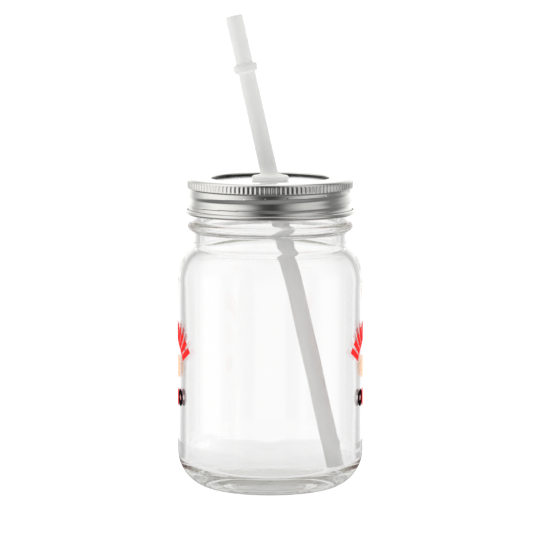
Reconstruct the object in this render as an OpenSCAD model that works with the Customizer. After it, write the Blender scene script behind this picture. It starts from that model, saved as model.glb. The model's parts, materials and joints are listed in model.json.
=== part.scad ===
// Drinking jar: a clear glass mason jar with a two-piece screw lid, a grommet and a reusable straw.
// Millimetres, +Z up. The origin is on the jar's axis, on the surface that it stands on.
// The straw leans in the XZ plane: its foot rests on the inside heel on the +X side.

/* [Glass body] */
// Outside diameter of the straight body
body_d = 81.6; // [79:0.2:85]
// Wall thickness of the straight body
wall = 2.8; // [2.4:0.1:3.2]
// Height of the glass rim above the base
jar_h = 134.8; // [132:0.2:140]
// Radius of the outside heel
heel_r = 16.7; // [14:0.1:18]
// Radial reach of the inside heel's curve
inner_heel_w = 14.5; // [14:0.5:17]
// Height of the inside heel's curve
inner_heel_h = 9.5; // [9:0.1:13]
// Thickness of the glass under the inside heel
floor_t = 5.5; // [4.5:0.1:6]
// Rise of the underside inside the standing ring
push_up = 2.2; // [1:0.2:3]
// Height where the shoulder starts to turn in
shoulder_z = 92; // [88:0.5:93]
// Height of the shoulder's curve
shoulder_h = 17; // [16:0.5:18]

/* [Glass neck] */
// Outside diameter of the neck under the bead
neck_d = 67.9; // [67.5:0.1:68.3]
// Diameter of the mouth
mouth_d = 61; // [60:0.1:61.5]
// Diameter of the bead ring
bead_d = 72.8; // [71:0.2:74]
// Height of the bead ring's middle
bead_z = 116; // [115.5:0.1:117]
// Height of the bead ring from edge to edge
bead_h = 4.2; // [3.6:0.1:5.6]
// Outside diameter of the neck between the threads
finish_d = 67.2; // [66.8:0.1:67.4]

/* [Thread] */
// Rise of the thread in one turn
pitch = 5.08; // [4.9:0.02:5.2]
// Outside diameter of the glass thread
thread_d = 69.8; // [69.4:0.1:69.9]
// Turns of thread on the glass
glass_turns = 1.35; // [1:0.05:1.5]
// Turns of thread rolled into the band
band_turns = 1.5; // [1.2:0.05:1.55]

/* [Screw band] */
// Thickness of the band's sheet
sheet = 0.35; // [0.25:0.05:0.4]
// Height of the band
band_h = 16; // [15.6:0.1:16.4]
// Diameter over the knurled rim
knurl_d = 73; // [72.8:0.1:73.6]
// Diameter of the band's wall
band_d = 71.2; // [71:0.1:71.6]
// Diameter over the rolled bottom edge
curl_d = 75; // [74.6:0.1:75.6]
// Diameter of the opening in the band's top
opening_d = 52; // [50:0.5:53]
// Number of knurls round the rim
knurls = 112; // [90:2:130]
// Height of the knurled strip
knurl_h = 3.4; // [2.8:0.1:3.6]

/* [Lid disc] */
// Thickness of the disc
disc_t = 0.3; // [0.25:0.05:0.4]
// Diameter of the disc
disc_d = 69.8; // [69:0.1:70.4]
// Depth of the disc's panel below the band's top
recess = 1.3; // [1.2:0.05:1.5]
// Diameter of the straw hole in the disc
hole_d = 12; // [11.5:0.1:12.5]

/* [Grommet] */
// Diameter of the grommet's top flange
grommet_d = 16.1; // [15:0.1:18]
// Thickness of the grommet's top flange
grommet_t = 2.1; // [1.8:0.1:2.6]

/* [Straw] */
// Length of the straw
straw_len = 206; // [195:0.2:215]
// Outside diameter of the straw
straw_d = 7.6; // [7:0.1:8]
// Inside diameter of the straw
straw_bore_d = 5.9; // [5:0.1:6.2]
// Lean of the straw from upright, in degrees
lean = 12.7; // [12:0.1:13]
// Distance from the straw's top end to the middle of its stop ring
ring_from_top = 23.4; // [20:0.2:30]
// Diameter of the stop ring
ring_d = 10.6; // [10:0.1:12]
// Height of the stop ring
ring_h = 3.5; // [3:0.1:4]

/* [Print] */
// Thickness of the fired print
ink = 0.08; // [0.05:0.01:0.15]
// Height of the centre that the print's rays fan out from
print_z = 50; // [48:0.5:54]
// Distance from that centre to the tips of the rays
fan_r = 24; // [20:0.5:24]
// Number of rays in the fan
rays = 6; // [3:1:6]

/* [Hidden] */
$fn = 128;
arc_steps = 10;         // straight steps in a quarter round of an outline
thread_steps = 60;      // straight steps in one turn of a thread
fit_gap = 0.05;         // gap between faces that turn or slide on each other
rest_gap = 0.3;         // gap between curved faces that rest on each other

body_r = body_d / 2;
inner_r = body_r - wall;
neck_r = neck_d / 2;
mouth_r = mouth_d / 2;
finish_r = finish_d / 2;
heel_in = body_r - heel_r;              // radius of the standing ring's outer edge
ring_in = heel_in - 2.6;                // radius of the standing ring's inner edge
inner_heel = [inner_heel_w, inner_heel_h];
inner_heel_c = [inner_r - inner_heel_w, floor_t + inner_heel_h];
floor_crown = 0.8;                      // rise of the inside floor at its middle
shoulder_w = 10.5;                      // radial reach of the shoulder's curve
inner_shoulder_w = 9.5;
inner_shoulder_h = 15;
rim_r = (finish_r - mouth_r) / 2;       // radius of the rounded rim

gasket_t = 1.8;
channel_top = jar_h + fit_gap + gasket_t + disc_t;
band_top = channel_top + 0.1 + sheet;
panel_top = band_top - recess;
band_r = band_d / 2 - sheet / 2;        // radius to the middle of the band's sheet
opening_r = opening_d / 2;
disc_r = disc_d / 2;

thread_low = band_top - 12.74;          // height of the band thread's middle at its start, on +X
thread_lead = 1.8;                      // height of the glass thread above the band thread
thread_fade = 24;                       // degrees over which a thread rises to full height

straw_r = straw_d / 2;
pivot = [0, 0, band_top];               // point where the straw's axis crosses the jar's axis
// Distance down the straw's axis from the pivot to its foot, which rests on the inside heel. It is
// where the straw's lower side meets the heel's ellipse, taken inwards by rest_gap, and is solved
// with the ellipse shrunk to a round of radius 1.
foot_from = shrink([straw_r * cos(lean), band_top + straw_r * sin(lean)] - inner_heel_c);
foot_dir = shrink([sin(lean), -cos(lean)]);
foot_a = foot_dir * foot_dir;
foot_b = foot_from * foot_dir;
foot_c = foot_from * foot_from - pow(1 - rest_gap / inner_heel_h, 2);
straw_below = (sqrt(foot_b * foot_b - foot_a * foot_c) - foot_b) / foot_a;

fan_step = 10.5;                        // degrees from one ray to the next
ray = [2.7, 8];                         // width and length of a ray
spot_r = 5;
dot_r = 3.75;
bar = [6.2, 7];                         // width and height of the print's bar

// A step from the inside heel's centre, shrunk so that the heel's ellipse has radius 1.
function shrink(p) = [p[0] / inner_heel_w, p[1] / inner_heel_h];

// Points along an arc about c, or along an ellipse where r is a pair of radii.
function arc(c, r, a0, a1, n = arc_steps) =
    let (rx = is_list(r) ? r[0] : r, ry = is_list(r) ? r[1] : r)
    [for (i = [0:n]) let (a = a0 + (a1 - a0) * i / n) c + [rx * cos(a), ry * sin(a)]];

// Points along a shallow dome from the axis at height h to radius r at height 0.
function dome(r, h, z, n = 5) =
    let (big = (r * r + h * h) / (2 * h), half = asin(r / big))
    [for (i = [0:n]) let (a = half * i / n) [big * sin(a), z + h - big + big * cos(a)]];

// Where an elliptical shoulder turns into the neck's fillet with no break, found by halving.
function meet(body, w, h, neck, fillet, lo = 5, hi = 89, i = 24) =
    let (t = (lo + hi) / 2, turn = atan(w / h * tan(t)))
    i == 0 ? t
    : body - w + w * cos(t) > neck + fillet * (1 - cos(turn))
        ? meet(body, w, h, neck, fillet, t, hi, i - 1)
        : meet(body, w, h, neck, fillet, lo, t, i - 1);

// A shoulder from the straight body at height z up to the straight neck.
function shoulder(body, z, w, h, neck, fillet) =
    let (t = meet(body, w, h, neck, fillet), turn = atan(w / h * tan(t)),
        centre = [neck + fillet, z + h * sin(t) + fillet * sin(turn)])
    concat(arc([body - w, z], [w, h], 0, t), arc(centre, fillet, 180 + turn, 180, 5));

function reverse(p) = [for (i = [len(p) - 1:-1:0]) p[i]];

// Outline of a sheet of thickness t whose middle follows a path.
function unit(v) = v / norm(v);
function left_of(v) = [-v[1], v[0]];
function mitre(p, i) =
    let (n = len(p),
        a = left_of(unit(p[max(i, 1)] - p[max(i, 1) - 1])),
        b = left_of(unit(p[min(i, n - 2) + 1] - p[min(i, n - 2)])))
    (a + b) / (1 + a * b);
function sheet_outline(p, t) = concat(
    [for (i = [0:len(p) - 1]) p[i] + mitre(p, i) * t / 2],
    [for (i = [len(p) - 1:-1:0]) p[i] - mitre(p, i) * t / 2]);

// A right-hand thread. Its section is a trapezoid from radius r_root to radius r_tip, and its
// middle starts at height z and angle a0. Both ends fade out.
module thread(r_root, r_tip, half_root, half_tip, z, a0, turns) {
    n = ceil(turns * thread_steps);
    function fade(a) = let (s = min(1, max(0.04, a / thread_fade))) s * (2 - s);
    rings = [for (i = [0:n])
        let (a = 360 * turns * i / n, s = min(fade(a), fade(360 * turns - a)),
            tip = r_root + (r_tip - r_root) * s, zc = z + pitch * a / 360)
        each [for (p = [[r_root, -half_root], [tip, -half_tip], [tip, half_tip], [r_root, half_root]])
            [p[0] * cos(a0 + a), p[0] * sin(a0 + a), zc + p[1] * (0.35 + 0.65 * s)]]];
    out = r_tip > r_root;
    function face(f) = out ? reverse(f) : f;
    polyhedron(points = rings, faces = concat(
        [face([0, 1, 2]), face([0, 2, 3])],
        [face([4 * n, 4 * n + 2, 4 * n + 1]), face([4 * n, 4 * n + 3, 4 * n + 2])],
        [for (i = [0:n - 1], k = [0:3])
            let (a = 4 * i + k, b = 4 * i + (k + 1) % 4)
            each [face([a, a + 4, b + 4]), face([a, b + 4, b])]]));
}

// The straw's own frame: along +Z up the straw, with the pivot at the origin.
module straw_frame() {
    translate(pivot) rotate([0, -lean, 0]) children();
}

module jar() {
    outside = concat(
        dome(ring_in, push_up, 0),
        arc([heel_in, heel_r], heel_r, -90, 0, 14),
        shoulder(body_r, shoulder_z, shoulder_w, shoulder_h, neck_r, 2),
        arc([neck_r, bead_z], [bead_d / 2 - neck_r, bead_h / 2], -90, 90, 14),
        [[finish_r, bead_z + bead_h / 2 + 0.6]],
        arc([mouth_r + rim_r, jar_h - rim_r], rim_r, 0, 180, 14));
    inside = concat(
        dome(inner_heel_c[0], floor_crown, floor_t),
        arc(inner_heel_c, inner_heel, -90, 0, 14),
        shoulder(inner_r, shoulder_z - 1, inner_shoulder_w, inner_shoulder_h, mouth_r, 4.5));
    color([0.85, 0.93, 0.91, 0.4]) {
        rotate_extrude() polygon(concat(outside, reverse(inside)));
        thread(finish_r - 0.4, thread_d / 2, 1.4, 0.5, thread_low + thread_lead - 0.3 * pitch, -108,
            glass_turns);
    }
}

// A thin layer on the body, near +X and mirrored near -X, in the outline of the child. The child is
// drawn with its own X along the jar's side, 0 at the jar's widest and negative towards -Y, and
// its own Y up.
module fired_on_body() {
    for (side = [0, 1]) mirror([side, 0, 0]) intersection() {
        difference() {
            translate([0, 0, shoulder_z / 4]) cylinder(r = body_r + ink, h = shoulder_z / 1.5);
            cylinder(r = body_r, h = shoulder_z);
        }
        rotate([90, 0, 90]) linear_extrude(body_r + 2) children();
    }
}

// Half a sunrise of plain rays, and a short bar under it.
module print_red() {
    color([0.86, 0.09, 0.1]) fired_on_body() {
        for (i = [0:rays - 1]) translate([0, print_z]) rotate((i + 0.4) * fan_step)
            translate([-ray[0] / 2, fan_r - ray[1]]) square(ray);
        translate([-bar[0], print_z - 9.4 - bar[1] / 2]) square(bar);
    }
}

// A plain spot inside the rays.
module print_peach() {
    color([0.98, 0.8, 0.7]) fired_on_body() translate([-spot_r, print_z + 4.5]) circle(r = spot_r);
}

// A ring beside the bar.
module print_black() {
    beside_bar = [-bar[0] - dot_r - 0.1, print_z - 9];
    color([0.07, 0.07, 0.08]) fired_on_body() translate(beside_bar) difference() {
        circle(r = dot_r);
        circle(r = dot_r / 3);
    }
}

module lid_disc() {
    panel_z = panel_top - disc_t / 2;
    channel_z = channel_top - disc_t / 2;
    middle = concat(
        [[hole_d / 2, panel_z], [opening_r + 0.6, panel_z], [opening_r + 1.6, channel_z]],
        arc([disc_r - disc_t / 2 - 0.4, channel_z - 0.4], 0.4, 90, 0, 4),
        [[disc_r - disc_t / 2, channel_z - 1]]);
    color([0.88, 0.89, 0.9]) rotate_extrude() polygon(sheet_outline(middle, disc_t));
}

module lid_gasket() {
    color([0.75, 0.73, 0.7]) translate([0, 0, jar_h + fit_gap]) difference() {
        cylinder(r = disc_r - disc_t - 0.35, h = gasket_t);
        translate([0, 0, -1]) cylinder(r = mouth_r - 0.7, h = gasket_t + 2);
    }
}

module screw_band() {
    flange_z = band_top - sheet / 2;
    drum_r = knurl_d / 2 - 0.55;
    curl_r = [(curl_d - sheet) / 4 - band_r / 2, 1.4];
    curl_c = [band_r + curl_r[0], band_top - band_h + curl_r[1] + sheet / 2];
    middle = concat(
        [[opening_r + sheet / 2, flange_z - 1]],
        arc([opening_r + sheet / 2 + 0.4, flange_z - 0.4], 0.4, 180, 90, 4),
        arc([drum_r - 0.7, flange_z - 0.7], 0.7, 90, 0, 4),
        [[drum_r, band_top - 0.7 - knurl_h - 0.1], [band_r, band_top - 0.7 - knurl_h - 0.8]],
        arc(curl_c, curl_r, 180, 470, 16));
    color([0.72, 0.73, 0.75]) {
        difference() {
            union() {
                rotate_extrude() polygon(sheet_outline(middle, sheet));
                thread(band_r, finish_r + 0.75, 1.25, 0.5, thread_low, 0, band_turns);
            }
            thread(band_d / 2 + 0.3, finish_r + 1.25, 1.1, 0.3, thread_low, 0, band_turns);
        }
        translate([0, 0, band_top - 0.7 - knurl_h]) linear_extrude(knurl_h) difference() {
            polygon([for (i = [0:2 * knurls - 1])
                let (r = knurl_d / 2 - (i % 2) * 0.3, a = 180 * i / knurls) [r * cos(a), r * sin(a)]]);
            circle(r = drum_r);
        }
    }
}

module straw_grommet() {
    seat = panel_top + fit_gap;
    under = panel_top - disc_t - fit_gap;
    rim = grommet_d / 2;
    outline = concat(
        [[0, under - 1.7], [hole_d / 2 + 0.3, under - 1.7], [hole_d / 2 + 1, under],
            [hole_d / 2 - 0.07, under], [hole_d / 2 - 0.07, seat]],
        arc([rim - 0.6, seat + 0.6], 0.6, -90, 0, 4),
        arc([rim - 0.9, seat + grommet_t - 0.9], 0.9, 0, 90, 5),
        [[straw_r + 1.9, seat + grommet_t], [straw_r + 1.5, seat + grommet_t + 0.5],
            [0, seat + grommet_t + 0.5]]);
    color([0.93, 0.94, 0.94]) difference() {
        rotate_extrude() polygon(outline);
        straw_frame() cylinder(r = straw_r + fit_gap, h = 30, center = true);
    }
}

module straw() {
    top = straw_len - straw_below;
    color([0.95, 0.96, 0.96]) straw_frame() difference() {
        union() {
            translate([0, 0, -straw_below]) cylinder(r = straw_r, h = straw_len);
            translate([0, 0, top - ring_from_top]) rotate_extrude() polygon(concat(
                [[straw_bore_d / 2 + 0.3, -ring_h / 2]],
                arc([ring_d / 2 - 0.9, 1 - ring_h / 2], [0.9, 1], -90, 0, 5),
                arc([ring_d / 2 - 0.9, ring_h / 2 - 1], [0.9, 1], 0, 90, 5),
                [[straw_bore_d / 2 + 0.3, ring_h / 2]]));
        }
        translate([0, 0, -straw_below - 1]) cylinder(r = straw_bore_d / 2, h = straw_len + 2);
    }
}

jar();
print_red();
print_peach();
print_black();
lid_disc();
lid_gasket();
screw_band();
straw_grommet();
straw();
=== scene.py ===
"""A clear glass drinking jar with a two-piece metal screw lid, a grommet and a white straw.

Everything is built in millimetres, in the CAD frame, and goes to metres when a mesh is made.
Sizes that the CAD fixes are read from the frame; the rest are named below.
"""

import json
import math

import bmesh
import bpy
import numpy as np
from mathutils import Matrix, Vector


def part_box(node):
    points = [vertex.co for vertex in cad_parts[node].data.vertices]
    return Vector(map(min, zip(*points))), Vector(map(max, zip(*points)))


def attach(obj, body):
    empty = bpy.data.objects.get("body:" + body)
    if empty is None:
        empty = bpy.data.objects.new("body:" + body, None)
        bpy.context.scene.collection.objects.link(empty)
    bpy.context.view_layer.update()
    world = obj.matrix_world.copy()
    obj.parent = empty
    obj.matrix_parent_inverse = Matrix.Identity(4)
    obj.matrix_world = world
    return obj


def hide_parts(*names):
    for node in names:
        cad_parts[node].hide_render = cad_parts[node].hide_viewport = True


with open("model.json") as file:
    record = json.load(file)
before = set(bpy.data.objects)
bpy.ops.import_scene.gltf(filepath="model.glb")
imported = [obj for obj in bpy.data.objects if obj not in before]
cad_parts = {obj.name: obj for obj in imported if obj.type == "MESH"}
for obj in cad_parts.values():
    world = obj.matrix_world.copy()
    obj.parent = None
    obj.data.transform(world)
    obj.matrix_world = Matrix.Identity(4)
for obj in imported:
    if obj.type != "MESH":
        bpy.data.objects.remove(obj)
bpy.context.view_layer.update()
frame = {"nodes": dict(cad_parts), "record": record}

MM = 0.001
TAU = 2 * math.pi


# ---------------------------------------------------------------- sizes from the frame


def corners(node):
    """The lowest and highest corner of a CAD node, in millimetres."""
    low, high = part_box(node)
    return np.array(low) / MM, np.array(high) / MM


JAR_HIGH = corners("jar")[1]
BAND_LOW, BAND_HIGH = corners("screw_band")
DISC_LOW, DISC_HIGH = corners("lid_disc")
GASKET_LOW, GASKET_HIGH = corners("lid_gasket")
GROMMET_LOW, GROMMET_HIGH = corners("straw_grommet")
MOUNTS = {mount["name"]: mount for mount in frame["record"]["mounts"]}

BODY_R = JAR_HIGH[0]
JAR_H = JAR_HIGH[2]
BAND_TOP = BAND_HIGH[2]
BAND_BOTTOM = BAND_LOW[2]
CURL_R = BAND_HIGH[0]
STRAW_R = MOUNTS["straw_tip"]["dims"]["r_mm"]
STRAW_BORE_R = MOUNTS["straw_bore"]["dims"]["r_mm"]
STRAW_LEN = MOUNTS["straw_bore"]["dims"]["length_mm"]
STRAW_UP = np.array(MOUNTS["straw_bore"]["axis"])
STRAW_MIDDLE = np.array(MOUNTS["straw_bore"]["pos_m"]) / MM
LEAN = math.atan2(-STRAW_UP[0], STRAW_UP[2])

# ---------------------------------------------------------------- sizes of the detail

# The glass
WALL = 2.8
HEEL_R = 16.7
INNER_HEEL = (14.5, 9.5)
FLOOR_T = 5.5
FLOOR_CROWN = 0.8
FLOOR_GROOVE = 0.16     # depth of the plunger's mark round the inside floor
GROOVE_HALF = 0.6       # half its width
PUSH_UP = 2.2
RING_WIDTH = 2.6        # width of the ring that the jar stands on
SHOULDER_Z = 92.0
SHOULDER = (10.5, 17.0)
INNER_SHOULDER_Z = 91.0
INNER_SHOULDER = (9.5, 15.0)
NECK_R = 33.95
NECK_Z = 109.1          # where the straight neck starts
MOUTH_R = 30.5
MOUTH_Z = 112.0         # where the straight mouth starts
FINISH_R = 33.6
BEAD_R = 36.4
BEAD_Z = 116.0
BEAD_H = 4.2
SETTLE_Z = 24.0         # height of the faint line where the glass settled against the mould
SETTLE_STEP = 0.22      # how much thicker the wall is below it than above
SETTLE_HALF = 62        # degrees that the line runs to each side of the front
MOTTLE = 0.05           # depth of the mottling under the base

# The threads
PITCH = 5.08
THREAD_R = 34.9
THREAD_UP = 1.8         # height of the glass thread over the band's groove
THREAD_HALF = 1.35      # half the width of the glass thread at its foot
THREAD_FLANK = 0.9
GLASS_THREAD = (-110, 376)      # degrees from +X, where the glass thread starts and ends
BAND_THREAD = (-115, 520)       # the same for the band's
THREAD_FADE = 40                # degrees over which an end runs out
GROOVE_ON_X = 12.74     # depth of the band's thread below its top, where it crosses +X

# The band
SHEET = 0.35
OPENING_R = 26.0
BAND_R = 36.1           # over the crests of the band's rolled thread
ROLL_DEPTH = 0.72       # from its crests to its valleys
DRUM_R = 36.5
DRUM_LOW = BAND_TOP - 4.15
BROW = 1.4              # radius of the band's rounded top edge
KNURLS = 112
KNURL_DEPTH = 0.34
CURL = 0.9              # radius of the curled bottom edge

# The disc, the grommet's seat and the straw's stop ring
DISC_T = 0.3
PANEL_DROP = 0.85       # depth of the disc's panel below its rim channel
HOLE_R = 6.0
RING_FROM_TOP = 23.4
RING_R = 5.3
RING_H = 3.5

# Points round the axis
JAR_COLUMNS = 256
KNURL_COLUMNS = 5       # for each knurl of the band
DISC_COLUMNS = 192
GASKET_COLUMNS = 160
GROMMET_COLUMNS = 96
STRAW_COLUMNS = 72


# ---------------------------------------------------------------- outlines


def smooth(x):
    """0 below 0, 1 above 1 and an even curve between."""
    x = np.clip(x, 0, 1)
    return x * x * (3 - 2 * x)


def arc(centre, radius, start, end, steps):
    """Points along an arc, or along an ellipse where radius is a pair."""
    rx, rz = radius if isinstance(radius, tuple) else (radius, radius)
    angle = np.radians(np.linspace(start, end, steps + 1))
    return np.column_stack([centre[0] + rx * np.cos(angle), centre[1] + rz * np.sin(angle)])


def line(a, b, steps):
    """Points along a straight run, without its first one."""
    t = np.linspace(0, 1, steps + 1)[1:, None]
    return np.array(a) * (1 - t) + np.array(b) * t


def dome(radius, rise, height, steps):
    """Points along a shallow dome, from the axis out."""
    r = np.linspace(0, radius, steps + 1)
    return np.column_stack([r, height + rise * (1 - (r / radius) ** 2)])


def shoulder(body, z, size, neck, fillet, steps):
    """A shoulder from the straight body at height z up to the straight neck, with no break."""
    wide, high = size
    low_t, high_t = math.radians(5), math.radians(89)
    for _ in range(30):
        t = (low_t + high_t) / 2
        turned = math.atan(wide / high * math.tan(t))
        if body - wide + wide * math.cos(t) > neck + fillet * (1 - math.cos(turned)):
            low_t = t
        else:
            high_t = t
    centre = (neck + fillet, z + high * math.sin(t) + fillet * math.sin(turned))
    return np.vstack([
        arc((body - wide, z), size, 0, math.degrees(t), steps),
        arc(centre, fillet, 180 + math.degrees(turned), 180, steps // 3)[1:],
    ])


def offset(path, distance):
    """The path moved to its left by a distance."""
    ahead = np.gradient(path, axis=0)
    ahead /= np.linalg.norm(ahead, axis=1)[:, None]
    return path + np.column_stack([-ahead[:, 1], ahead[:, 0]]) * distance


# ---------------------------------------------------------------- meshes


def new_mesh(name, points, faces):
    """A smooth-shaded object from points in millimetres, with no spare points and its faces out."""
    mesh = bpy.data.meshes.new(name)
    mesh.from_pydata((points * MM).tolist(), [], faces)
    bm = bmesh.new()
    bm.from_mesh(mesh)
    spare = [point for point in bm.verts if not point.link_faces]
    bmesh.ops.delete(bm, geom=spare, context="VERTS")
    bmesh.ops.recalc_face_normals(bm, faces=bm.faces)
    bm.to_mesh(mesh)
    bm.free()
    mesh.polygons.foreach_set("use_smooth", [True] * len(mesh.polygons))
    mesh.update()
    piece = bpy.data.objects.new(name, mesh)
    bpy.context.scene.collection.objects.link(piece)
    return piece


def skin(name, grid, poles=False):
    """A closed surface through a grid of points: rows run round the section, columns round the axis.

    With poles, the first and last rows are single points on the axis."""
    rows, columns = grid.shape[:2]
    index = np.arange(rows * columns).reshape(rows, columns)
    ahead = np.roll(index, -1, axis=1)
    if poles:
        below, below_ahead = index[2:-1], ahead[2:-1]
        quads = np.stack([index[1:-2], ahead[1:-2], below_ahead, below], axis=-1)
        first, last = index[0, 0], index[-1, 0]
        caps = [(first, b, a) for a, b in zip(index[1], ahead[1])]
        caps += [(last, a, b) for a, b in zip(index[-2], ahead[-2])]
    else:
        below, below_ahead = np.roll(index, -1, axis=0), np.roll(ahead, -1, axis=0)
        quads = np.stack([index, ahead, below_ahead, below], axis=-1)
        caps = []
    faces = quads.reshape(-1, 4).tolist() + [[int(i) for i in cap] for cap in caps]
    return new_mesh(name, grid.reshape(-1, 3), faces)


def round_axis(radius, height, angle):
    """A grid of points from radii, heights and angles."""
    height = height + 0 * angle
    return np.stack([radius * np.cos(angle), radius * np.sin(angle), height], axis=-1)


def around(columns):
    """Even angles round the axis."""
    return np.linspace(0, TAU, columns, endpoint=False)[None, :]


def turn(profile, columns):
    """A grid of points: each (radius, height) of the profile turned round the axis."""
    return round_axis(profile[:, 0][:, None], profile[:, 1][:, None], around(columns))


def along_straw(grid):
    """Points from the straw's own frame, with +Z up the straw and the top end at 0, to the jar's."""
    x, y, z = grid[..., 0], grid[..., 1], grid[..., 2]
    top = STRAW_MIDDLE + STRAW_UP * STRAW_LEN / 2
    across = np.array([math.cos(LEAN), 0, math.sin(LEAN)])
    return top + x[..., None] * across + y[..., None] * np.array([0, 1, 0]) + z[..., None] * STRAW_UP


def helix_offset(z, angle, height_on_x, span):
    """Height above the nearest turn of a right-hand thread, and how far the thread has risen there."""
    turns = np.round((z - height_on_x) / PITCH - angle / TAU)
    swept = np.degrees(angle + TAU * turns)
    height = z - height_on_x - PITCH * swept / 360
    start, end = span
    fade = smooth((swept - start) / THREAD_FADE) * smooth((end - swept) / THREAD_FADE)
    return height, fade


def fit(piece, mat, body, node):
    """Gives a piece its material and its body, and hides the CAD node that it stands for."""
    piece.data.materials.append(mat)
    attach(piece, body)
    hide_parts(node)


# ---------------------------------------------------------------- node helpers


def calculate(tree, operation, *values):
    """A Math node on numbers or sockets."""
    node = tree.nodes.new("ShaderNodeMath")
    node.operation = operation
    for socket, value in zip(node.inputs, values):
        if isinstance(value, (int, float)):
            socket.default_value = value
        else:
            tree.links.new(value, socket)
    return node.outputs[0]


def pick(tree, factor, first, second):
    """first where the factor is 0 and second where it is 1."""
    node = tree.nodes.new("ShaderNodeMix")
    node.data_type = "FLOAT"
    for key, value in (("Factor", factor), ("A", first), ("B", second)):
        if isinstance(value, (int, float)):
            node.inputs[key].default_value = value
        else:
            tree.links.new(value, node.inputs[key])
    return node.outputs["Result"]


def blend_colours(tree, factor, first, second):
    """The colour first where the factor is 0 and second where it is 1."""
    node = tree.nodes.new("ShaderNodeMix")
    node.data_type = "RGBA"
    tree.links.new(factor, node.inputs["Factor"])
    for key, colour in (("A", first), ("B", second)):
        if isinstance(colour, tuple):
            node.inputs[key].default_value = (*colour, 1)
        else:
            tree.links.new(colour, node.inputs[key])
    return node.outputs["Result"]


def rise_of(tree, value, span):
    """0 below the span, 1 above it and an even curve between."""
    node = tree.nodes.new("ShaderNodeMapRange")
    node.interpolation_type = "SMOOTHSTEP"
    node.inputs["From Min"].default_value, node.inputs["From Max"].default_value = span
    tree.links.new(value, node.inputs["Value"])
    return node.outputs["Result"]


def past(tree, value, start, end):
    """0 before start and 1 past end, in millimetres, for a value in metres."""
    return rise_of(tree, value, (start * MM, end * MM))


def spread(tree, source, low, high):
    """A noise value spread between low and high."""
    node = tree.nodes.new("ShaderNodeMapRange")
    node.inputs["From Min"].default_value = 0.3
    node.inputs["From Max"].default_value = 0.7
    node.inputs["To Min"].default_value = low
    node.inputs["To Max"].default_value = high
    tree.links.new(source, node.inputs["Value"])
    return node.outputs["Result"]


def noise(tree, scale, detail=2.0, stretch=(1, 1, 1)):
    """A noise texture in the object's own space, in metres."""
    where = tree.nodes.new("ShaderNodeTexCoord")
    mapping = tree.nodes.new("ShaderNodeMapping")
    mapping.inputs["Scale"].default_value = stretch
    texture = tree.nodes.new("ShaderNodeTexNoise")
    texture.inputs["Scale"].default_value = scale
    texture.inputs["Detail"].default_value = detail
    tree.links.new(where.outputs["Object"], mapping.inputs["Vector"])
    tree.links.new(mapping.outputs["Vector"], texture.inputs["Vector"])
    return texture.outputs["Fac"]


def place_in(tree):
    """Distance from the jar's axis and height above its base, in metres."""
    split = tree.nodes.new("ShaderNodeSeparateXYZ")
    tree.links.new(tree.nodes.new("ShaderNodeTexCoord").outputs["Object"], split.inputs[0])
    x, y, z = split.outputs
    squares = calculate(
        tree, "ADD", calculate(tree, "POWER", x, 2.0), calculate(tree, "POWER", y, 2.0))
    return calculate(tree, "SQRT", squares), z


def bump(tree, shader, source, strength, distance):
    """Fine relief from a value."""
    node = tree.nodes.new("ShaderNodeBump")
    node.inputs["Strength"].default_value = strength
    node.inputs["Distance"].default_value = distance
    tree.links.new(source, node.inputs["Height"])
    tree.links.new(node.outputs["Normal"], shader.inputs["Normal"])


def look_up(tree, value, stops, low, high):
    """A brightness read off a list of (place, brightness), with the places from low to high."""
    place = calculate(tree, "DIVIDE", calculate(tree, "SUBTRACT", value, low), high - low)
    ramp = tree.nodes.new("ShaderNodeValToRGB")
    ramp.color_ramp.interpolation = "CARDINAL" if len(stops) > 8 else "EASE"
    marks = ramp.color_ramp.elements
    while len(marks) < len(stops):
        marks.new(1.0)
    for mark, (where, bright) in zip(marks, stops):
        mark.position = (where - low) / (high - low)
        mark.color = (*[bright / BRIGHTEST] * 3, 1)
    tree.links.new(place, ramp.inputs["Fac"])
    return calculate(tree, "MULTIPLY", ramp.outputs["Color"], BRIGHTEST)


# ---------------------------------------------------------------- materials

GLASS_IOR = 1.517
GLASS_DEPTH = (0.84, 0.83, 0.70)    # the colour that thick glass turns
GLASS_DENSITY = 3.0
STIPPLE_ROUGH = 0.16
STIPPLE_TINT = (0.92, 0.92, 0.86)
# painted shade: a grey for the thin ring round the inside floor's edge
PAINTED_RIM_SHADE = (0.66, 0.67, 0.68)
PAINTED_LIP_SHADE = (0.07, 0.07, 0.068)      # painted shade: the lip of the opening, coloured dark for the shade it lies in
PLASTIC_IOR = 1.49

# Pairs of colours that a material clouds between
SATIN_STEEL = ((0.77, 0.765, 0.735), (0.82, 0.815, 0.79))
BRIGHT_STEEL = ((0.86, 0.865, 0.875), (0.90, 0.905, 0.91))
COMPOUND = ((0.6, 0.58, 0.55), (0.7, 0.68, 0.64))
GROMMET_WHITES = ((0.93, 0.93, 0.89), (0.96, 0.96, 0.925))
STRAW_WHITES = ((0.95, 0.95, 0.935), (0.975, 0.975, 0.96))

# Each colour of the fired print: its CAD node, its material, its colour where it is thick and where
# it is thin, and the strength of the glow that stands in for light behind it
PRINT = (
    ("print_red", "red_enamel", (0.93, 0.02, 0.02), (0.96, 0.05, 0.05), 0.3),
    ("print_peach", "peach_enamel", (0.97, 0.60, 0.42), (0.98, 0.68, 0.50), 0.35),
    ("print_black", "black_enamel", (0.004, 0.004, 0.005), (0.015, 0.015, 0.017), 0.0),
)


def material(name, **sockets):
    """A Principled material with plain values on its own sockets."""
    mat = bpy.data.materials.new(name)
    mat.use_nodes = True
    shader = mat.node_tree.nodes["Principled BSDF"]
    for key, value in sockets.items():
        shader.inputs[key.replace("_", " ")].default_value = value
    return mat, mat.node_tree, shader


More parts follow.
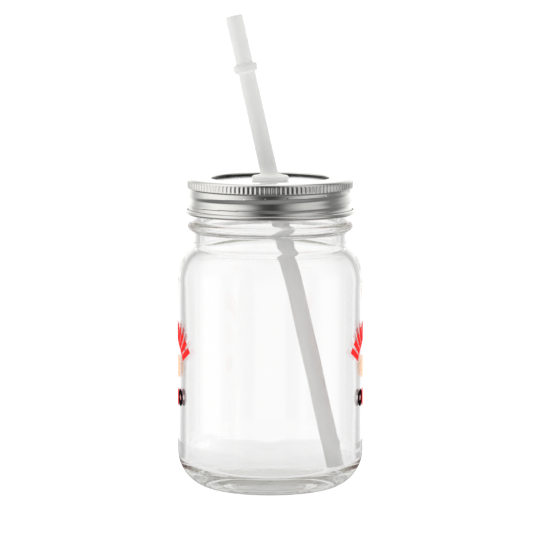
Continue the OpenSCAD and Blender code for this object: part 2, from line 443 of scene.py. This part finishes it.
def floor_marks(tree):
    """Where the inside floor is stippled, and the thin ring round its edge that gets a painted dark
    line of shade, from 0 to 1.
    """
    reach, z = place_in(tree)
    edge = BODY_R - WALL - INNER_HEEL[0]
    top = FLOOR_T + FLOOR_CROWN
    low = calculate(tree, "SUBTRACT", 1, past(tree, z, top + 0.2, top + 0.5))
    inside = calculate(tree, "SUBTRACT", 1, past(tree, reach, edge - 0.2, edge))
    on_floor = calculate(tree, "MULTIPLY", low, inside)
    grain = spread(tree, noise(tree, 1500, 3), 0, 1)
    # The thin ring at the floor's edge, where the glass is greyed as painted shade.
    rim = past(tree, reach, edge - 0.9, edge - 0.3)
    return [calculate(tree, "MULTIPLY", on_floor, mark) for mark in (grain, rim)]


def clear_glass():
    """Soda glass: clear when thin, faintly olive when thick, stippled on the inside floor, and greyed
    in a thin ring round the floor's edge as painted shade.
    """
    mat, tree, shader = material("clear_glass", IOR=GLASS_IOR, Transmission_Weight=1.0)
    depth = tree.nodes.new("ShaderNodeVolumeAbsorption")
    depth.inputs["Color"].default_value = (*GLASS_DEPTH, 1)
    depth.inputs["Density"].default_value = GLASS_DENSITY
    tree.links.new(depth.outputs["Volume"], tree.nodes["Material Output"].inputs["Volume"])
    dots, rim = floor_marks(tree)
    tree.links.new(calculate(tree, "MULTIPLY", dots, STIPPLE_ROUGH), shader.inputs["Roughness"])
    tinted = blend_colours(tree, dots, (1, 1, 1), STIPPLE_TINT)
    tree.links.new(blend_colours(tree, rim, tinted, PAINTED_RIM_SHADE), shader.inputs["Base Color"])
    return mat


def satin_tinplate():
    """Rolled tinplate with a satin, faintly streaked surface, and painted shade on the opening's lip,
    which is coloured dark.
    """
    mat, tree, shader = material(
        "satin_tinplate", Metallic=1.0, Anisotropic=0.35, Specular_IOR_Level=0.5)
    streaks = noise(tree, 900, 3, (1, 1, 9))
    tree.links.new(spread(tree, streaks, 0.08, 0.12), shader.inputs["Roughness"])
    blotches = spread(tree, noise(tree, 90, 2), 0, 1)
    steel = blend_colours(tree, blotches, *SATIN_STEEL)
    reach, z = place_in(tree)
    # Painted shade: below its top edge, the lip of the opening is coloured dark.
    off_lip = past(tree, reach, OPENING_R + 0.12, OPENING_R + 0.3)
    over_lip = past(tree, z, BAND_TOP - 0.62, BAND_TOP - 0.45)
    unshaded = calculate(tree, "MAXIMUM", off_lip, over_lip)
    tree.links.new(blend_colours(tree, unshaded, PAINTED_LIP_SHADE, steel), shader.inputs["Base Color"])
    bump(tree, shader, streaks, 0.05, 0.00002)
    return mat


def bright_tinplate():
    """Smooth tinplate, almost a mirror."""
    mat, tree, shader = material("bright_tinplate", Metallic=1.0)
    haze = noise(tree, 140, 3)
    tree.links.new(spread(tree, haze, 0.1, 0.16), shader.inputs["Roughness"])
    cloud = spread(tree, haze, 0, 1)
    tree.links.new(blend_colours(tree, cloud, *BRIGHT_STEEL), shader.inputs["Base Color"])
    bump(tree, shader, noise(tree, 60, 2), 0.05, 0.0003)
    return mat


def sealing_compound():
    """Matte sealing compound under the disc."""
    mat, tree, shader = material("sealing_compound", Roughness=0.6)
    colour = blend_colours(tree, noise(tree, 700, 3), *COMPOUND)
    tree.links.new(colour, shader.inputs["Base Color"])
    return mat


def translucent_plastic(name, whites, rough, glow):
    """White plastic. Its own faint glow stands in for the light that it carries along inside."""
    mat, tree, shader = material(
        name, Subsurface_Weight=0.5, Subsurface_Radius=(1.0, 1.0, 0.95), Subsurface_Scale=0.0012,
        IOR=PLASTIC_IOR, Emission_Color=(1, 1, 0.97, 1), Emission_Strength=glow)
    cloud = spread(tree, noise(tree, 220, 3, (1, 1, 0.25)), 0, 1)
    tree.links.new(blend_colours(tree, cloud, *whites), shader.inputs["Base Color"])
    grain = noise(tree, 1600, 2, (1, 1, 0.1))
    tree.links.new(spread(tree, grain, rough, rough + 0.08), shader.inputs["Roughness"])
    bump(tree, shader, grain, 0.06, 0.00003)
    return mat


def fired_enamel(name, colour, worn, glow):
    """A fired print, uneven where it is thin. Its own glow stands in for light from behind."""
    mat, tree, shader = material(
        name, Specular_IOR_Level=0.0, Emission_Color=(*colour, 1), Emission_Strength=glow)
    cover = noise(tree, 1300, 4)
    thin = spread(tree, cover, 0, 1)
    tree.links.new(blend_colours(tree, thin, colour, worn), shader.inputs["Base Color"])
    tree.links.new(spread(tree, cover, 0.45, 0.6), shader.inputs["Roughness"])
    return mat


# ---------------------------------------------------------------- the glass jar


def jar_outside():
    """The outside of the glass as (radius, height) points, from under the base up to the rim."""
    heel_in = BODY_R - HEEL_R
    rim = (FINISH_R - MOUTH_R) / 2
    bead_top = BEAD_Z + BEAD_H / 2
    return np.vstack([
        dome(heel_in - RING_WIDTH, PUSH_UP, 0, 44),
        line((heel_in - RING_WIDTH, 0), (heel_in, 0), 3),
        arc((heel_in, HEEL_R), HEEL_R, -90, 0, 30)[1:],
        line((BODY_R, HEEL_R), (BODY_R, SHOULDER_Z), 4),
        shoulder(BODY_R, SHOULDER_Z, SHOULDER, NECK_R, 2, 24)[1:],
        line((NECK_R, NECK_Z), (NECK_R, BEAD_Z - BEAD_H / 2), 6),
        arc((NECK_R, BEAD_Z), (BEAD_R - NECK_R, BEAD_H / 2), -90, 90, 20)[1:],
        line((FINISH_R, bead_top + 0.4), (FINISH_R, JAR_H - rim), 56),
        arc((MOUTH_R + rim, JAR_H - rim), rim, 0, 180, 16)[1:],
    ])


def jar_inside():
    """The inside of the glass as (radius, height) points, from the rim down to the floor."""
    inner_r = BODY_R - WALL
    rim = (FINISH_R - MOUTH_R) / 2
    heel_c = (inner_r - INNER_HEEL[0], FLOOR_T + INNER_HEEL[1])
    return np.vstack([
        dome(heel_c[0] - 0.7, FLOOR_CROWN, FLOOR_T, 30),
        arc((heel_c[0], FLOOR_T), (GROOVE_HALF, FLOOR_GROOVE), -180, -360, 8),
        arc(heel_c, INNER_HEEL, -87, 0, 32),
        line((inner_r, heel_c[1]), (inner_r, INNER_SHOULDER_Z), 50),
        shoulder(inner_r, INNER_SHOULDER_Z, INNER_SHOULDER, MOUTH_R, 4.5, 24)[1:],
        line((MOUTH_R, MOUTH_Z), (MOUTH_R, JAR_H - rim - 0.4), 16),
    ])[::-1]


def thread_ridge(z, angle):
    """How far the thread stands out of the neck."""
    gap, risen = helix_offset(z, angle, BAND_TOP - GROOVE_ON_X + THREAD_UP, GLASS_THREAD)
    ridge = (THREAD_R - FINISH_R) * smooth((THREAD_HALF - np.abs(gap)) / THREAD_FLANK) * risen
    on_neck = (z > BEAD_Z + BEAD_H / 2 + 0.6) & (z < JAR_H - 1.6)   # clear of the bead and the rim
    return np.where(on_neck, ridge, 0)


def blown_inside(z, angle):
    """The gentle waves of a blown inside, and the settle line across its front."""
    waves = (0.05 * np.sin(3 * angle + 0.031 * z) + 0.02 * np.sin(7 * angle - 0.11 * z + 1.3)
             + 0.008 * np.sin(0.42 * z + 2 * np.sin(angle)))
    off_front = np.degrees(np.abs((angle + 1.5 * math.pi) % TAU - math.pi))
    settle = SETTLE_Z + 0.7 * np.sin(5 * angle + 0.5) + 0.35 * np.sin(13 * angle)
    step = SETTLE_STEP * smooth((z - settle) / 1.2) * smooth((SETTLE_HALF - off_front) / 14)
    return (waves + step) * smooth((z - 12) / 14) * smooth((MOUTH_Z - z) / 16)


def mottle(r, z, angle):
    """The mottled underside that the mould leaves inside the ring the jar stands on."""
    pattern = (np.sin(r * 2.1 + 3 * np.sin(4 * angle)) * np.sin(17 * angle + r * 0.9)
               + 0.6 * np.sin(29 * angle - 1.7 * r) * np.sin(r * 3.3))
    under = (z < PUSH_UP + 0.1) & (r < BODY_R - HEEL_R - RING_WIDTH)
    return np.where(under, MOTTLE * pattern * smooth(r / 6) * smooth((19 - r) / 4), 0)


def add_jar():
    """The moulded glass, in one closed surface from under the base to the inside floor."""
    outside, inside = jar_outside(), jar_inside()
    profile = np.vstack([outside, inside])
    angle = around(JAR_COLUMNS)
    r = profile[:, 0][:, None] + 0 * angle
    z = profile[:, 1][:, None] + 0 * angle
    outer = np.arange(len(profile))[:, None] < len(outside)
    r += np.where(outer, thread_ridge(z, angle), blown_inside(z, angle))
    z += np.where(outer, mottle(r, z, angle), 0)
    jar = skin("glass_jar", round_axis(r, z, angle), poles=True)
    fit(jar, clear_glass(), "jar", "jar")


# ---------------------------------------------------------------- the screw band


def band_path():
    """The middle of the band's sheet, from the lip of its opening over the top and down to the curl."""
    flange = BAND_TOP - SHEET / 2
    drum = DRUM_R - SHEET / 2
    wall = BAND_R - SHEET / 2
    curl_c = (CURL_R - SHEET / 2 - CURL, BAND_BOTTOM + SHEET / 2 + CURL)
    return np.vstack([
        [(OPENING_R + SHEET / 2, flange - 1.0)],
        arc((OPENING_R + SHEET / 2 + 0.4, flange - 0.4), 0.4, 180, 90, 5),
        line((OPENING_R + 0.6, flange), (drum - BROW, flange), 4)[:-1],
        arc((drum - BROW, flange - BROW), BROW, 90, 0, 8),
        line((drum, flange - BROW), (drum, DRUM_LOW), 6),
        arc((drum - 0.35, DRUM_LOW - 0.1), 0.35, 0, -60, 3),
        arc((wall + 0.3, DRUM_LOW - 0.9), 0.3, 120, 180, 2),
        line((wall, DRUM_LOW - 1.0), (wall, curl_c[1] + 1.2), 40),
        arc(curl_c, CURL, 165, 440, 16),
    ])


def flutes(r, z, angle):
    """Depth of the knurl's flutes in the band's drum, at a place on the middle of its sheet."""
    on_drum = (r > DRUM_R - 0.8) & (z < BAND_TOP - 0.3) & (z > BAND_TOP - 5.5)
    drum_top = BAND_TOP + 0.3 - BROW
    upright = smooth((drum_top - z) / 0.6) * smooth((z - DRUM_LOW + 0.35) / 0.6)
    flute = 0.5 - 0.5 * np.cos(KNURLS * angle)
    return np.where(on_drum, KNURL_DEPTH * flute ** 1.3 * upright, 0)


def rolls(r, z, angle):
    """Depth of the rolled thread in the band's wall, at a place on the middle of its sheet."""
    on_wall = (r < BAND_R + 0.2) & (z < BAND_TOP - 3.2) & (r > OPENING_R + 5)
    gap, risen = helix_offset(z, angle, BAND_TOP - GROOVE_ON_X, BAND_THREAD)
    roll = 0.5 + 0.5 * np.cos(TAU * gap / PITCH)
    clear_of_ends = smooth((DRUM_LOW - z) / 0.8) * smooth((z - BAND_BOTTOM - 2.2) / 1.2)
    return np.where(on_wall, ROLL_DEPTH * (roll * risen + 0.4 * (1 - risen)) * clear_of_ends, 0)


def add_band():
    """The rolled and knurled band: both faces of its sheet follow the same path."""
    path = band_path()
    profile = np.vstack([offset(path, SHEET / 2), offset(path, -SHEET / 2)[::-1]])
    middle = np.vstack([path, path[::-1]])
    angle = around(KNURLS * KNURL_COLUMNS)
    mid_r, mid_z = middle[:, 0][:, None], middle[:, 1][:, None]
    r = profile[:, 0][:, None] - flutes(mid_r, mid_z, angle) - rolls(mid_r, mid_z, angle)
    band = skin("rolled_band", round_axis(r, profile[:, 1][:, None], angle))
    fit(band, satin_tinplate(), "band", "screw_band")


# ---------------------------------------------------------------- the lid disc and gasket


def add_disc():
    """The pressed disc, with its panel below its rim channel and a turned-down edge."""
    panel = DISC_HIGH[2] - PANEL_DROP - DISC_T / 2
    channel = DISC_HIGH[2] - DISC_T / 2
    edge = DISC_HIGH[0] - DISC_T / 2
    path = np.vstack([
        arc((HOLE_R + 0.25, panel), (0.25, 0.05), 180, 90, 2),
        line((HOLE_R + 0.3, panel), (OPENING_R + 0.5, panel), 12),
        arc((OPENING_R + 0.5, panel + 0.4), 0.4, -90, -50, 3)[1:],
        arc((OPENING_R + 1.65, channel - 0.4), 0.4, 130, 90, 3),
        line((OPENING_R + 1.8, channel), (edge - 0.5, channel), 4),
        arc((edge - 0.45, channel - 0.45), 0.45, 90, 0, 5)[1:],
        line((edge, channel - 0.5), (edge, DISC_LOW[2] + 0.02), 2),
    ])
    profile = np.vstack([offset(path, DISC_T / 2), offset(path, -DISC_T / 2)[::-1]])
    disc = skin("pressed_disc", turn(profile, DISC_COLUMNS))
    fit(disc, bright_tinplate(), "lid", "lid_disc")


def add_gasket():
    """The ring of compound under the disc's channel, with a soft groove worn by the glass rim."""
    low, high = GASKET_LOW[2], GASKET_HIGH[2]
    inner, outer = MOUTH_R - 0.7, GASKET_HIGH[0]
    middle = MOUTH_R + 1.55
    edge = 0.3
    profile = np.vstack([
        arc((inner + edge, high - edge), edge, 180, 90, 3),
        arc((outer - edge, high - edge), edge, 90, 0, 3),
        arc((outer - edge, low + edge), edge, 0, -90, 3),
        arc((middle, low), (0.9, 0.05), 0, 180, 6),
        arc((inner + edge, low + edge), edge, -90, -180, 3),
    ])
    gasket = skin("sealing_ring", turn(profile, GASKET_COLUMNS))
    fit(gasket, sealing_compound(), "lid", "lid_gasket")


# ---------------------------------------------------------------- the grommet and straw


def grommet_outline():
    """The outside of the grommet, from the lip round its bore down to its bottom."""
    rim = GROMMET_HIGH[0]
    low, top = GROMMET_LOW[2], GROMMET_HIGH[2]
    lip = top - 0.5
    neck = HOLE_R - 0.07
    seat = DISC_HIGH[2] - PANEL_DROP + 0.05
    under = seat - DISC_T - 0.1
    return np.vstack([
        [(STRAW_R + 1.15, top - 0.12)],
        arc((STRAW_R + 1.35, lip + 0.3), 0.2, 80, 10, 2),
        arc((STRAW_R + 2.0, lip + 0.25), 0.25, 200, 270, 2),
        arc((rim - 0.75, lip - 0.75), 0.75, 90, 0, 6),
        arc((rim - 0.5, seat + 0.5), 0.5, 0, -90, 5),
        line((rim - 0.5, seat), (neck, seat), 2),
        line((neck, seat), (neck, under), 2),
        arc((HOLE_R + 0.7, under - 0.25), 0.25, 90, 0, 3),
        arc((HOLE_R + 0.1, low + 0.3), 0.3, 0, -90, 3),
        [(STRAW_R + 1.4, low)],
    ])


def leaning_bore():
    """A grid of points up the grommet's bore, which leans with the straw and flares at its ends."""
    low, top = GROMMET_LOW[2], GROMMET_HIGH[2]
    heights = np.concatenate([[low + 0.12], np.linspace(low + 0.3, top - 0.3, 10), [top - 0.05]])
    flare = np.zeros(len(heights))
    flare[[0, -1]] = 0.2
    radius = (STRAW_R + 0.05 + flare)[:, None]
    height = heights[:, None]
    angle = around(GROMMET_COLUMNS)
    x = radius / math.cos(LEAN) * np.cos(angle) - (height - BAND_TOP) * math.tan(LEAN)
    return np.stack([x, radius * np.sin(angle), height + 0 * angle], axis=-1)


def add_grommet():
    """The soft bush: turned outside, with a tilted bore that the straw runs in."""
    grid = np.concatenate([turn(grommet_outline(), GROMMET_COLUMNS), leaning_bore()])
    plastic = translucent_plastic("grommet_plastic", GROMMET_WHITES, 0.38, 0.22)
    fit(skin("soft_grommet", grid), plastic, "grommet", "straw_grommet")


def add_straw():
    """The hollow straw and its stop ring, with ends rounded as they leave the mould."""
    edge = 0.25             # radius of the rounded ends
    root = 0.4              # radius where the stop ring meets the straw
    crest = 0.95            # radius of the stop ring's own edges
    ring_top = RING_H / 2 - RING_FROM_TOP
    ring_low = -RING_H / 2 - RING_FROM_TOP
    outside = np.vstack([
        arc((STRAW_R - edge, -edge), edge, 90, 0, 4),
        line((STRAW_R, -edge), (STRAW_R, ring_top + 0.5), 8),
        arc((STRAW_R + root, ring_top + root), root, 180, 270, 3)[1:],
        arc((RING_R - crest, ring_top - crest), crest, 90, 0, 7),
        arc((RING_R - crest, ring_low + crest), crest, 0, -90, 7),
        arc((STRAW_R + root, ring_low - root), root, 90, 180, 3),
        line((STRAW_R, ring_low - 0.5), (STRAW_R, edge - STRAW_LEN), 60),
        arc((STRAW_R - edge, edge - STRAW_LEN), edge, 0, -90, 4)[1:],
    ])
    inside = np.vstack([
        arc((STRAW_BORE_R + edge, edge - STRAW_LEN), edge, -90, -180, 4),
        line((STRAW_BORE_R, edge - STRAW_LEN), (STRAW_BORE_R, -edge), 60),
        arc((STRAW_BORE_R + edge, -edge), edge, 180, 90, 4)[1:],
    ])
    grid = along_straw(turn(np.vstack([outside, inside]), STRAW_COLUMNS))
    plastic = translucent_plastic("straw_plastic", STRAW_WHITES, 0.3, 0.12)
    fit(skin("drinking_straw", grid), plastic, "straw", "straw")


# ---------------------------------------------------------------- the fired print


def paint_cad(node, mat):
    """Gives a CAD node that is shown as it is a material."""
    mesh = frame["nodes"][node].data
    mesh.materials.clear()
    mesh.materials.append(mat)


def paint_print():
    """The three colours of the fired print, which the CAD shapes."""
    for node, name, colour, worn, glow in PRINT:
        paint_cad(node, fired_enamel(name, colour, worn, glow))


# ---------------------------------------------------------------- the stage

LENS = 265
CAMERA_AT = (-0.00167, -1.72, 0.289)    # in metres, as all of the stage is
CAMERA_AIM = (-0.00167, 0, 0.0979)

FLOOR_R = 0.15
FLOOR_DROP = 0.0001     # how far the floor is below the jar
FLOOR_WHITE = 0.3
FLOOR_GLOW = 0.95
FLOOR_THROUGH = 0.79    # how much of the floor's brightness shows through the glass
FLOOR_IN_METAL = 0.2    # how much of it shows in reflections

# A pair ending in _FROM says where a light begins and where it has fully taken over, by how much of
# a direction's length is a rise, or a drop for the lights from below.
WHITE = 1.15            # what the camera sees behind everything
OVERHEAD = 0.95         # the soft light above
OVERHEAD_FROM = (0.85, 0.98)
BELOW = 0.95            # the light from below on what isn't shiny
BELOW_FROM = (0.12, 0.25)
DUSK = 0.2              # in metal, what lies just under the room's walls
DUSK_FROM = (0.2, 0.5)
TABLE = 0.5             # in metal, what lies straight below
TABLE_FROM = (0.6, 0.9)
TABLE_TINT = (0.88, 0.95, 1.0)
ABOVE = 0.5             # the light from above that comes in through the glass
ABOVE_FROM = (0.12, 0.4)
UNDER = 0.9             # the light from below that comes in through the glass
UNDER_FROM = (0.14, 0.26)
BRIGHTEST = 1.25

# The room by degrees from the front, -Y, towards +X: dark behind the camera, with a bright wall on
# each side of it and a white one behind the jar.
ROOM = (
    (-180, 1.15), (-152, 1.0), (-134, 0.6), (-111, 0.9), (-84, 1.08), (-52, 0.9), (-40, 0.68),
    (-28, 0.38), (-17, 0.14), (-3, 0.06), (11, 0.10), (22, 0.25), (33, 0.43), (45, 0.6), (57, 0.67),
    (77, 0.6), (92, 0.3), (104, 0.24), (120, 0.45), (148, 1.0), (180, 1.15),
)

# The soft light on everything that isn't shiny, by degrees from the front: a little less from there.
SOFT = ((-180, 0.72), (-70, 0.68), (0, 0.25), (70, 0.68), (180, 0.72))

# What shows through the glass, by degrees from the nearest of the four axes: a white room with
# dimmer posts.
THROUGH = ((0, 1.0), (17, 0.97), (24, 0.6), (37, 0.6), (43, 0.9), (45, 0.9))


def ray_kinds(tree):
    """Whether a ray comes from the camera, off a matt face, through glass or off metal, each 0 or 1."""
    rays = tree.nodes.new("ShaderNodeLightPath").outputs
    through = rays["Is Transmission Ray"]
    in_metal = calculate(tree, "SUBTRACT", rays["Is Glossy Ray"], through)
    return rays["Is Camera Ray"], rays["Is Diffuse Ray"], through, in_metal


def add_floor():
    """A plain pale floor that glows a little, and less as seen through glass or in metal."""
    bm = bmesh.new()
    bmesh.ops.create_circle(bm, cap_ends=True, segments=96, radius=FLOOR_R)
    mesh = bpy.data.meshes.new("floor")
    bm.to_mesh(mesh)
    bm.free()
    floor = bpy.data.objects.new("floor", mesh)
    bpy.context.scene.collection.objects.link(floor)
    floor.location.z = -FLOOR_DROP
    mat, tree, shader = material("floor_white", Roughness=0.9, Emission_Color=(1, 1, 1, 1))
    _, _, through, in_metal = ray_kinds(tree)
    bright = pick(tree, through, 1.0, FLOOR_THROUGH)
    bright = pick(tree, in_metal, bright, FLOOR_IN_METAL)
    tree.links.new(calculate(tree, "MULTIPLY", bright, FLOOR_GLOW), shader.inputs["Emission Strength"])
    tree.links.new(calculate(tree, "MULTIPLY", bright, FLOOR_WHITE), shader.inputs["Base Color"])
    floor.data.materials.append(mat)


def soft_light(tree, degrees, down):
    """The light that falls on what isn't shiny."""
    return pick(tree, rise_of(tree, down, BELOW_FROM), look_up(tree, degrees, SOFT, -180, 180), BELOW)


def room_in_metal(tree, degrees, up, down):
    """The room as metal reflects it."""
    light = look_up(tree, degrees, ROOM, -180, 180)
    light = pick(tree, rise_of(tree, up, OVERHEAD_FROM), light, OVERHEAD)
    light = pick(tree, rise_of(tree, down, DUSK_FROM), light, DUSK)
    return pick(tree, rise_of(tree, down, TABLE_FROM), light, TABLE)


def room_through_glass(tree, degrees, up, down):
    """The room as it shows through the glass."""
    off_axis = calculate(tree, "PINGPONG", degrees, 45)
    light = pick(tree, rise_of(tree, up, ABOVE_FROM), look_up(tree, off_axis, THROUGH, 0, 45), ABOVE)
    return pick(tree, rise_of(tree, down, UNDER_FROM), light, UNDER)


def light_room(world):
    """A room with its own brightness for each kind of ray: plain white to the camera, and one look
    each for matt faces, for metal and for what shows through glass."""
    world.use_nodes = True
    tree = world.node_tree
    split = tree.nodes.new("ShaderNodeSeparateXYZ")
    tree.links.new(tree.nodes.new("ShaderNodeTexCoord").outputs["Generated"], split.inputs[0])
    x, y, up = split.outputs
    down = calculate(tree, "MULTIPLY", up, -1)
    degrees = calculate(
        tree, "DEGREES", calculate(tree, "ARCTAN2", x, calculate(tree, "MULTIPLY", y, -1)))

    camera, matt, through, in_metal = ray_kinds(tree)
    light = pick(tree, matt, room_in_metal(tree, degrees, up, down), soft_light(tree, degrees, down))
    light = pick(tree, through, light, room_through_glass(tree, degrees, up, down))
    light = pick(tree, camera, light, WHITE)
    background = tree.nodes["Background"]
    tree.links.new(light, background.inputs["Strength"])
    on_table = calculate(tree, "MULTIPLY", in_metal, rise_of(tree, down, TABLE_FROM))
    tree.links.new(blend_colours(tree, on_table, (1, 1, 1), TABLE_TINT), background.inputs["Color"])
    world.cycles.sampling_method = "NONE"


def set_studio():
    """A soft studio, with enough bounces for light to leave the thick base of the glass."""
    scene = bpy.context.scene
    scene.world = bpy.data.worlds.new("studio")
    light_room(scene.world)
    scene.view_settings.view_transform = "Standard"
    scene.cycles.max_bounces = 64
    scene.cycles.transmission_bounces = 64
    scene.cycles.glossy_bounces = 64
    scene.cycles.diffuse_bounces = 6
    scene.cycles.use_denoising = True


def add_camera():
    """A long lens from a little above the lid, in front on -Y."""
    data = bpy.data.cameras.new("camera")
    data.lens = LENS
    data.sensor_width = 36
    data.clip_end = 100
    camera = bpy.data.objects.new("camera", data)
    bpy.context.scene.collection.objects.link(camera)
    camera.location = CAMERA_AT
    down = math.atan2(CAMERA_AT[2] - CAMERA_AIM[2], CAMERA_AIM[1] - CAMERA_AT[1])
    camera.rotation_euler = (math.pi / 2 - down, 0, 0)
    bpy.context.scene.camera = camera


add_camera()
set_studio()
add_floor()
add_jar()
add_band()
add_disc()
add_gasket()
add_grommet()
add_straw()
paint_print()
